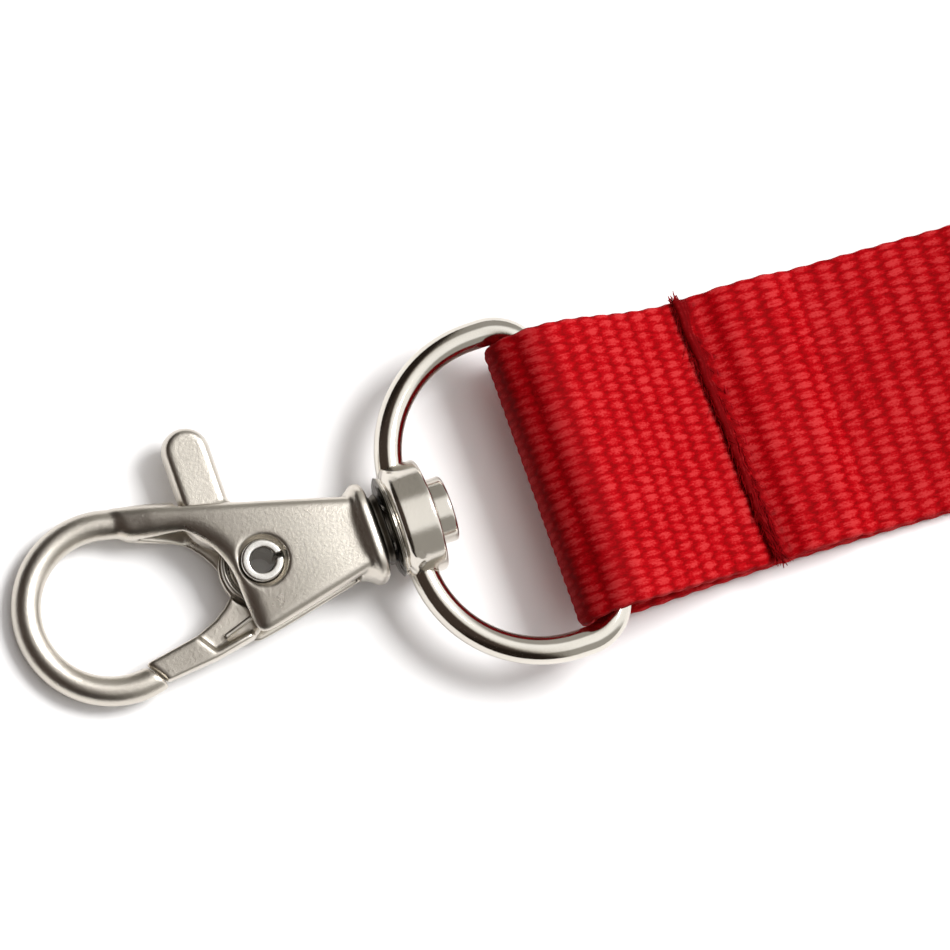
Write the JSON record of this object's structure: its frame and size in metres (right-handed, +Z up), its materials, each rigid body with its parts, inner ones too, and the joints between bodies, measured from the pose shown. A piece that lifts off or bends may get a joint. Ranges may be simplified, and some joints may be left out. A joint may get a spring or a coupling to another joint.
{
  "type": "lanyard",
  "caption": "Neck lanyard of flat woven webbing, sewn round a D-ring that carries a swivel trigger snap hook, with the spare strap folded into a tied hank.",
  "frame": {"origin": "on the resting surface, under the middle of the object's bounding box", "axes": "+X along the strap from the hook towards the hank, +Y across the strap, +Z up from the surface the lanyard lies on"},
  "size_m": [0.1755, 0.0244, 0.013],
  "materials": {
    "webbing": "ribbed woven polyester",
    "thread": "spun sewing thread",
    "cast_nickel": "nickel-plated die casting, tumbled",
    "ring_wire": "polished nickel-plated wire",
    "pin": "rolled nickel-plated tube",
    "spring": "drawn spring wire",
    "tie": "black hook-and-loop tape"
  },
  "bodies": {
    "strap": {"webbing_loop": "webbing", "webbing_lower_strand": "webbing", "webbing_upper_strand": "webbing", "webbing_hank": "webbing", "seam_stitching": "thread", "hank_tie": "tie"},
    "ring": {"d_ring": "ring_wire", "swivel_collar": "cast_nickel"},
    "hook": {"hook_body": "cast_nickel", "hinge_pin": "pin", "swivel_stud": "cast_nickel", "trigger_spring": "spring"},
    "trigger": {"trigger": "cast_nickel"}
  },
  "joints": [
    {"name": "ring_swing", "type": "hinge", "parent": "strap", "child": "ring", "pos_m": [-0.0483, 0.0005, 0.00563], "axis": [-0.0262, 0.9997, 0], "range_deg": [-100, 100]},
    {"name": "hook_swivel", "type": "hinge", "parent": "ring", "child": "hook", "pos_m": [-0.06021, 0.00019, 0.0042], "axis": [0.9926, 0.026, 0.119], "continuous": true},
    {"name": "trigger_hinge", "type": "hinge", "parent": "hook", "child": "trigger", "pos_m": [-0.07054, 0.00022, 0.00296], "axis": [0.1189, 0.0031, -0.9929], "range_deg": [0, 28], "stiffness_Nm_per_rad": 0.02, "springref_deg": -40.11, "deforming": ["trigger_spring"]}
  ]
}
